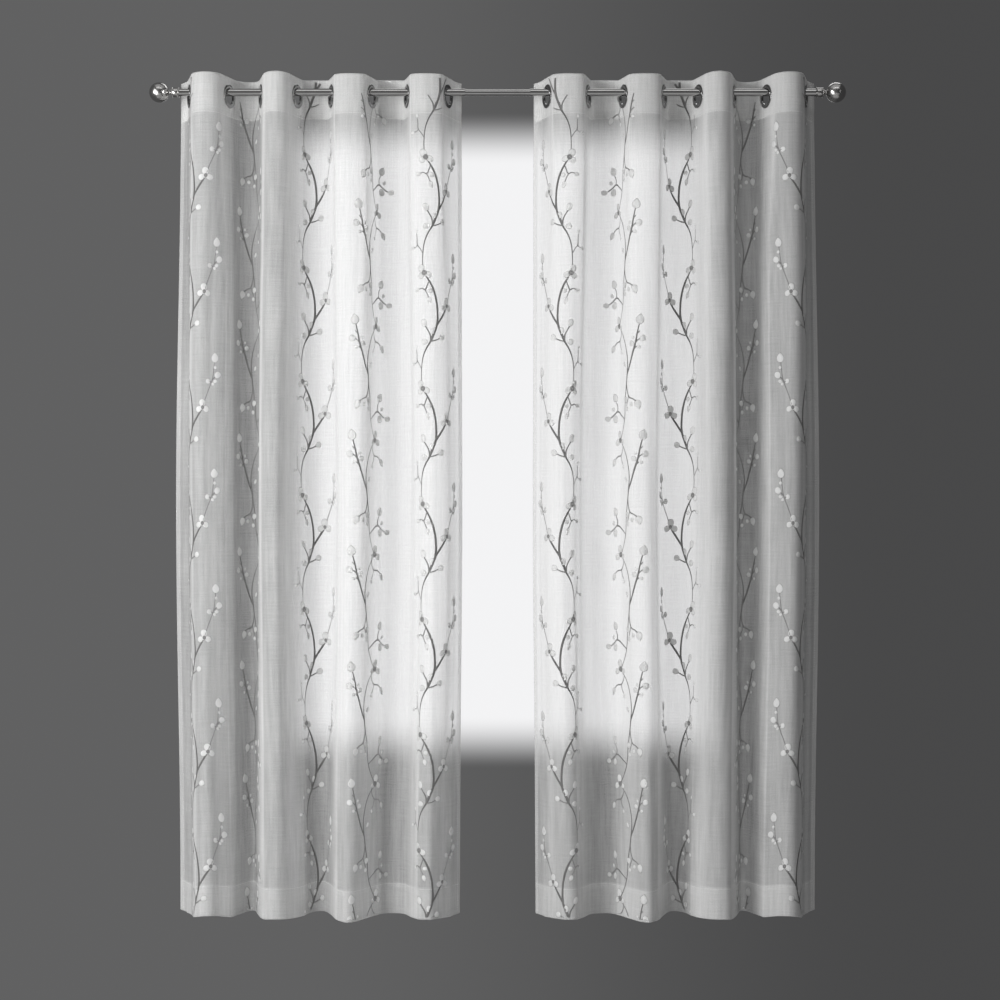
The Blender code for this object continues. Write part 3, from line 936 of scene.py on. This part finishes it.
def basePetal():
    deselectAll()
    bpy.ops.mesh.primitive_uv_sphere_add(segments=18, ring_count=4, radius=0.5, location=(0, 0, 0))
    obj = bpy.context.object
    points, faces = meshArrays(obj)
    bpy.data.objects.remove(obj)
    reach = np.hypot(points[:, 0], points[:, 1])
    between = (reach > 0.1) & (reach < 0.45)
    points[between, :2] *= 0.43 / reach[between, None]
    points[between, 2] *= 0.46 / 0.354
    return points, faces, np.where(reach > 0.45, 1.0, 0.0)


def baseKnot():
    deselectAll()
    bpy.ops.mesh.primitive_torus_add(
        major_segments=14, minor_segments=6, major_radius=0.30, minor_radius=0.22, location=(0, 0, 0)
    )
    obj = bpy.context.object
    points, faces = meshArrays(obj)
    bpy.data.objects.remove(obj)
    return points, faces, np.zeros(len(points))


petalBase = basePetal()
knotBase = baseKnot()


# A domed patch, broad at its outer end, or pointed there if it is a leaf, turned about its middle
def petalPart(petal):
    points, faces, rim = knotBase if petal.kind == "knot" else petalBase
    along, broad, up = points[:, 1], points[:, 0], points[:, 2]
    reach = np.clip(along + 0.5, 0, 1)
    if petal.kind == "leaf":
        broad = broad * (1.06 - 0.42 * reach**3)
        along = along + 0.10 * np.clip(along * 2, 0, 1) ** 4 * (1 - np.abs(points[:, 0]) * 2)
    elif petal.kind == "petal":
        broad = broad * (0.88 + 0.22 * reach)
    unit = embroidery["millimetre"]
    length, width = petal.length * unit, petal.width * unit
    turn = radians(petal.turn)
    right = broad * width * cos(turn) - along * length * sin(turn)
    upwards = broad * width * sin(turn) + along * length * cos(turn)
    tall = up * 2 * embroidery["petalHeight"]
    if petal.kind == "knot":
        tall = tall + embroidery["knotLift"]
    flat = np.stack((right + petal.right * unit, upwards - petal.down * unit, tall), axis=-1)
    uvs = np.stack((along * length, broad * width * 0.7 + along * length * 0.7), axis=-1)
    return flat, faces, uvs, rim


def petalParts(design, knots):
    chosen = [p for p in design.petals if (p.kind == "knot") == knots]
    return gathered([petalPart(p) for p in chosen])


# Drapes parts that are given as across, down and height over the folds
def drapedPiece(name, side, parts, material):
    points, faces, uvs, rims = gathered(parts)
    used = np.unique(np.concatenate([np.array(face) for face in faces]))
    order = np.full(len(points), -1)
    order[used] = np.arange(len(used))
    faces = [tuple(order[list(face)]) for face in faces]
    points, uvs, rims = points[used], uvs[used], rims[used]
    placed = onCloth(hangingSurface, points[:, 0], points[:, 1], layers["front"] + points[:, 2])
    if side > 0:
        faces = [face[::-1] for face in faces]
    return meshPiece(name, mirrored(placed, side), faces, material, uvs, {"rim": rims})


# Lays one design's parts at every repeat down the curtain
def repeatedPiece(name, side, makeParts, material, partSize=1, fromDown=0.0):
    made = {id(column.design): makeParts(column.design) for column in branchColumns}
    parts = []
    for column in branchColumns:
        points, faces, uvs, rims = made[id(column.design)]
        for repeat in range(-1, int(hang["length"] / repeatHeight) + 2):
            down = column.blossomDown + repeat * repeatHeight - points[:, 1]
            shift = column.topShift * (1 - eased(down / embroidery["shiftDepth"]))
            across = column.across - points[:, 0] + shift
            middles = down.reshape(-1, partSize).mean(axis=1).repeat(partSize)
            keep = [face for face in keptFaces(faces, across, down) if middles[face[0]] > fromDown]
            if keep:
                parts.append((np.stack((across, down, points[:, 2]), axis=-1), keep, uvs, rims))
    return drapedPiece(name, side, parts, material)


def keptFaces(faces, across, down):
    # The faces that lie on the cloth and clear of the eyelets.
    margin = embroidery["edgeMargin"]
    onIt = (across > margin) & (across < hang["width"] - margin)
    onIt &= (down > margin) & (down < hang["length"] - margin)
    for holeAcross, holeDown, _, _ in eyelets:
        onIt &= np.hypot(across - holeAcross, down - holeDown) > eyeletSizes["clearOfStitches"]
    return [face for face in faces if all(onIt[i] for i in face)]


def joinTo(target, others):
    deselectAll()
    for obj in [target, *others]:
        obj.select_set(True)
    bpy.context.view_layer.objects.active = target
    bpy.ops.object.join()
    return target


def makeEmbroidery(sideName, side):
    stems = repeatedPiece(f"stems_{sideName}", side, stemParts, stemThread)
    knots = repeatedPiece(f"knots_{sideName}", side, lambda d: petalParts(d, True), stemThread)
    # Petals stop short of the rings, and only stems are seen above
    petals = repeatedPiece(
        f"petals_{sideName}",
        side,
        lambda d: petalParts(d, False),
        petalThread,
        partSize=len(petalBase[0]),
        fromDown=embroidery["petalsFrom"],
    )
    joinTo(stems, [knots])
    return stems, petals


# Machine stitches along the heading, the hem and the side hems
sewing = {
    "pitch": 0.0045,
    "sidePitch": 0.0060,
    "size": (0.0034, 0.0008, 0.0005),
    "inFromFold": 0.0030,
    "fromEdge": 0.006,
    "lift": 0.0001,
}


def makeSewing(sideName, side):
    deselectAll()
    bpy.ops.mesh.primitive_uv_sphere_add(segments=6, ring_count=3, radius=0.5, location=(0, 0, 0))
    obj = bpy.context.object
    obj.data.transform(Matrix.Rotation(pi / 2, 4, "Y"))
    stitch, faces = meshArrays(obj)
    bpy.data.objects.remove(obj)
    stitch *= np.array(sewing["size"])
    inset, width, length = sewing["inFromFold"], hang["width"], hang["length"]
    margin = sewing["fromEdge"]
    across = np.arange(margin, width - margin, sewing["pitch"])
    down = np.arange(margin, length - margin, sewing["sidePitch"])
    lines = []
    for place in (hang["headingHeight"] - inset, length - hang["hemHeight"] + inset):
        lines.append((across, np.full(len(across), place), False))
    for place in (layers["sideHem"] - inset / 2, width - layers["sideHem"] + inset / 2):
        lines.append((np.full(len(down), place), down, True))
    parts = []
    for acrosses, downs, upright in lines:
        for a, d in zip(acrosses, downs):
            shape = stitch[:, (1, 0, 2)] if upright else stitch
            facesNow = [face[::-1] for face in faces] if upright else faces
            points = shape + np.array((a, d, sewing["lift"]))
            keep = [face[::-1] for face in keptFaces(facesNow, points[:, 0], points[:, 1])]
            if keep:
                parts.append((points, keep, shape[:, :2], np.zeros(len(shape))))
    return drapedPiece(f"sewing_{sideName}", side, parts, petalThread)


# Turned metal pieces

def turnedPiece(name, profile, steps, material, smoothAngle=40, closed=False):
    # A profile of (radius, along) points, extruded point by point and spun about the X axis.
    deselectAll()
    bpy.ops.mesh.primitive_plane_add(size=0.001, location=(0, 0, 0))
    obj = finishMesh(bpy.context.object, name)
    bpy.ops.object.mode_set(mode="EDIT")
    bpy.ops.mesh.merge(type="CENTER")
    radius, along = profile[0]
    bpy.ops.transform.translate(value=(along, 0, radius))
    rest = profile[1:] + (profile[:1] if closed else ())
    for nextRadius, nextAlong in rest:
        move = (nextAlong - along, 0, nextRadius - radius)
        bpy.ops.mesh.extrude_region_move(TRANSFORM_OT_translate={"value": move})
        radius, along = nextRadius, nextAlong
    bpy.ops.mesh.select_all(action="SELECT")
    bpy.ops.mesh.remove_doubles(threshold=1e-6)
    bpy.ops.mesh.spin(steps=steps, angle=2 * pi, center=(0, 0, 0), axis=(1, 0, 0))
    bpy.ops.mesh.select_all(action="SELECT")
    bpy.ops.mesh.remove_doubles(threshold=1e-6)
    bpy.ops.mesh.normals_make_consistent(inside=False)
    bpy.ops.object.mode_set(mode="OBJECT")
    obj.data.materials.clear()
    obj.data.materials.append(material)
    bpy.ops.object.shade_smooth_by_angle(angle=radians(smoothAngle))
    return obj


def arcProfile(centre, radius, fromAngle, toAngle, steps):
    # Points of a round stretch; centre is (radius, along), angles in degrees from the along axis.
    points = []
    for step in range(steps + 1):
        angle = radians(fromAngle + (toAngle - fromAngle) * step / steps)
        points.append((centre[0] + radius * sin(angle), centre[1] + radius * cos(angle)))
    return tuple(points)


def eyeletProfile():
    hole, rim = eyeletSizes["hole"], eyeletSizes["radius"]
    front = arcProfile((hole + 0.0022, 0.0012), 0.0022, -90, 0, 6)
    front += ((0.0250, 0.0037), (0.0272, 0.0034), (0.0288, 0.0028))
    front += arcProfile((rim - 0.0008, 0.0018), 0.0008, 40, 150, 4)
    front += ((rim - 0.0020, 0.0013), (0.0218, 0.0013))
    back = tuple((radius, -along) for radius, along in reversed(front))
    return front + back


def makeEyelets(sideName, side):
    first = turnedPiece("eyelet", eyeletProfile(), 48, eyeletMetal, closed=True)
    made = []
    for index, (_, _, place, direction) in enumerate(eyelets):
        eyelet = first.copy()
        eyelet.data = first.data.copy()
        scene.collection.objects.link(eyelet)
        finishMesh(eyelet, f"ring_{sideName}_{index + 1}")
        eyelet.location = (side * place[0], place[1], eyeletHeight)
        eyelet.rotation_euler = (0, 0, atan2(-direction[0], side * direction[1]))
        deselectAll()
        eyelet.select_set(True)
        bpy.context.view_layer.objects.active = eyelet
        bpy.ops.object.transform_apply(location=True, rotation=True, scale=True)
        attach(eyelet, "root")
        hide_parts(f"eyelet_{sideName}_{index + 1}")
        made.append(eyelet)
    bpy.data.objects.remove(first)
    return made


finialSizes = {
    "ballRadius": 0.0253,
    "ballCentre": 0.8615,
    "neckRadius": 0.0055,
    "collarRadius": 0.0120,
    "collarStart": 0.810,
    "collarEnd": 0.829,
}


def alongSide(profile, side):
    return tuple((radius, side * along) for radius, along in profile)


def ballProfile():
    s = finialSizes
    last = 180 - np.degrees(np.arcsin(s["neckRadius"] / s["ballRadius"]))
    ball = arcProfile((0.0, s["ballCentre"]), s["ballRadius"], 0, last, 32)
    neckStart = s["collarEnd"] + 0.0048
    neck = ((s["neckRadius"], neckStart + 0.0008), (s["neckRadius"] - 0.0006, neckStart), (0.0, neckStart))
    return ball + neck


def collarProfile():
    s = finialSizes
    start, end, radius = s["collarStart"], s["collarEnd"], s["collarRadius"]
    tip = end + 0.0045
    return (
        (0.0, tip),
        (s["neckRadius"] + 0.0008, tip),
        (s["neckRadius"] + 0.0010, end + 0.0030),
        (radius - 0.0030, end + 0.0010),
        (radius - 0.0006, end + 0.0004),
    ) + arcProfile((radius - 0.0002, end - 0.0012), 0.0011, 30, 150, 6) + (
        (radius - 0.0004, end - 0.0030),
        (radius, end - 0.0042),
        (radius, start + 0.0042),
        (radius - 0.0004, start + 0.0032),
    ) + arcProfile((radius - 0.0002, start + 0.0014), 0.0011, 30, 150, 6) + (
        (radius - 0.0002, start),
        (rodSizes["tubeRadius"] + 0.0003, start),
        (rodSizes["tubeRadius"] + 0.0003, rodSizes["tubeOuterEnd"] + 0.0003),
        (0.0, rodSizes["tubeOuterEnd"] + 0.0003),
    )


def tubeProfile(radius, start, end, bevel=0.0003):
    inner = radius - rodSizes["wall"]
    return (
        (inner, start),
        (inner, end),
        (radius - bevel, end),
        (radius, end - bevel),
        (radius, start + bevel),
        (radius - bevel, start),
    )


def placeRodPiece(obj, node):
    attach(obj, "root")
    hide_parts(node)
    return obj


def makeRod():
    tube = tubeProfile(rodSizes["tubeRadius"], rodSizes["tubeInnerEnd"], rodSizes["tubeOuterEnd"])
    for sideName, side in sides.items():
        piece = turnedPiece(f"outer_tube_{sideName}", alongSide(tube, side), 48, rodMetal, closed=True)
        placeRodPiece(piece, f"rod_tube_{sideName}")
        piece = turnedPiece(f"collar_{sideName}", alongSide(collarProfile(), side), 64, finialMetal)
        placeRodPiece(piece, f"finial_collar_{sideName}")
        piece = turnedPiece(f"ball_{sideName}", alongSide(ballProfile(), side), 64, finialMetal, 60)
        placeRodPiece(piece, f"finial_ball_{sideName}")
    slider = tubeProfile(rodSizes["sliderRadius"], -rodSizes["sliderEnd"], rodSizes["sliderEnd"])
    piece = turnedPiece("inner_tube", slider, 48, rodMetal, closed=True)
    low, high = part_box("rod_slider")
    piece.data.transform(Matrix.Translation((0, 0, (low[2] + high[2]) / 2)))
    placeRodPiece(piece, "rod_slider")


def makeCurtains():
    for sideName, side in sides.items():
        rings = makeEyelets(sideName, side)
        sheetPiece = makeVoile(sideName, side)
        strip = makeHeadingStrip(sideName, side)
        stems, petals = makeEmbroidery(sideName, side)
        stitches = makeSewing(sideName, side)
        for piece, slotName in (
            (sheetPiece, "voile"),
            (strip, "heading_cloth"),
            (stems, "stem_thread"),
            (petals, "petal_thread"),
            (stitches, "petal_thread"),
        ):
            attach(piece, "root")
        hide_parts(f"panel_{sideName}")
        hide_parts(f"heading_{sideName}")
        made = (sheetPiece, strip, stems, petals, stitches)
        showStage(f"{sideName} curtain made, faces {[len(piece.data.polygons) for piece in made]}")


makeCurtains()
makeRod()
showStage("rod made")

# Studio: a plain grey surround, darker to the right, with a soft glow behind the opening
studio = {
    "surroundLeft": (0.120, 0.120, 0.121, 1.0),
    "surroundRight": (0.066, 0.066, 0.067, 1.0),
    "glow": (0.90, 0.90, 0.91, 1.0),
    "glowHalfWidth": 0.112,
    "glowTop": 0.200,
    "glowFoot": -0.134,
    "glowSoftness": 0.030,
    "shadeFrom": -0.12,
    "shadeTo": 0.22,
    "cameraDistance": 4.6,
    "cameraX": 0.0061,
    "cameraZ": -1.0375,
    "frameWidth": 2.546,
}


# Long soft lamps; the fill's narrow beam lights the left curtain's far flanks
Lamp = namedtuple("Lamp", "name place target size power spread", defaults=(pi,))
lamps = (
    Lamp("key", (-3.4, -2.8, -0.1), (-0.3, 0.0, -1.0), (1.4, 2.4), 84),
    Lamp("near", (-2.3, -3.0, -0.9), (-0.8, 0.0, -1.0), (1.4, 2.0), 56),
    Lamp("fill", (2.4, -2.2, -0.7), (-0.6, 0.0, -0.9), (0.5, 2.4), 2.4, radians(34)),
    Lamp("front", (0.0, -3.8, 3.9), (0.0, 0.0, -1.6), (6.0, 1.6), 42),
    Lamp("ceiling", (0.0, -0.9, 3.4), (0.0, -0.9, 0.0), (6.0, 2.4), 18),
    Lamp("floor", (0.0, -3.0, -4.4), (0.0, -1.5, -1.0), (6.0, 4.0), 28),
    Lamp("lowFront", (0.0, -5.0, -2.6), (0.0, 0.0, -0.4), (6.0, 1.2), 14),
    Lamp("back", (0.8, 2.6, 2.8), (0.0, 0.0, -1.2), (3.0, 1.6), 26),
)


def softStep(tree, value, edge, rising):
    soft = studio["glowSoftness"] / 2
    risen = mapped(tree, value, edge - soft, edge + soft)
    return risen if rising else calc(tree, "SUBTRACT", 1.0, risen)


def makeSurround():
    world = scene.world or bpy.data.worlds.new("studio")
    scene.world = world
    world.use_nodes = True
    tree = world.node_tree
    direction = tree.nodes.new("ShaderNodeTexCoord").outputs["Generated"]
    parts = addNode(tree, "ShaderNodeSeparateXYZ", i0=direction)
    ahead = calc(tree, "MAXIMUM", parts.outputs[1], 0.001)
    across = calc(tree, "DIVIDE", calc(tree, "ABSOLUTE", parts.outputs[0]), ahead)
    up = calc(tree, "DIVIDE", parts.outputs[2], ahead)
    share = softStep(tree, across, studio["glowHalfWidth"], False)
    share = calc(tree, "MULTIPLY", share, softStep(tree, up, studio["glowTop"], False))
    share = calc(tree, "MULTIPLY", share, softStep(tree, up, studio["glowFoot"], True))
    side = mapped(tree, parts.outputs[0], studio["shadeFrom"], studio["shadeTo"])
    surround = mixColours(tree, side, studio["surroundLeft"], studio["surroundRight"])
    colour = mixColours(tree, share, surround, studio["glow"])
    tree.links.new(colour, tree.nodes["Background"].inputs[0])


def addLight(lamp):
    data = bpy.data.lights.new(lamp.name, "AREA")
    data.shape = "RECTANGLE"
    data.size, data.size_y = lamp.size
    data.energy = lamp.power
    data.spread = lamp.spread
    light = bpy.data.objects.new(lamp.name, data)
    light.location = lamp.place
    aim = Vector(lamp.target) - Vector(lamp.place)
    light.rotation_euler = aim.to_track_quat("-Z", "Y").to_euler()
    scene.collection.objects.link(light)


def makeStudio():
    makeSurround()
    for lamp in lamps:
        addLight(lamp)
    data = bpy.data.cameras.new("camera")
    camera = bpy.data.objects.new("camera", data)
    scene.collection.objects.link(camera)
    camera.location = (studio["cameraX"], -studio["cameraDistance"], studio["cameraZ"])
    camera.rotation_euler = (pi / 2, 0, 0)
    data.angle = 2 * atan2(studio["frameWidth"] / 2, studio["cameraDistance"])
    scene.camera = camera
    scene.view_settings.view_transform = "Standard"
    scene.cycles.transparent_max_bounces = 48


makeStudio()
bpy.context.view_layer.update()
showStage("studio made")
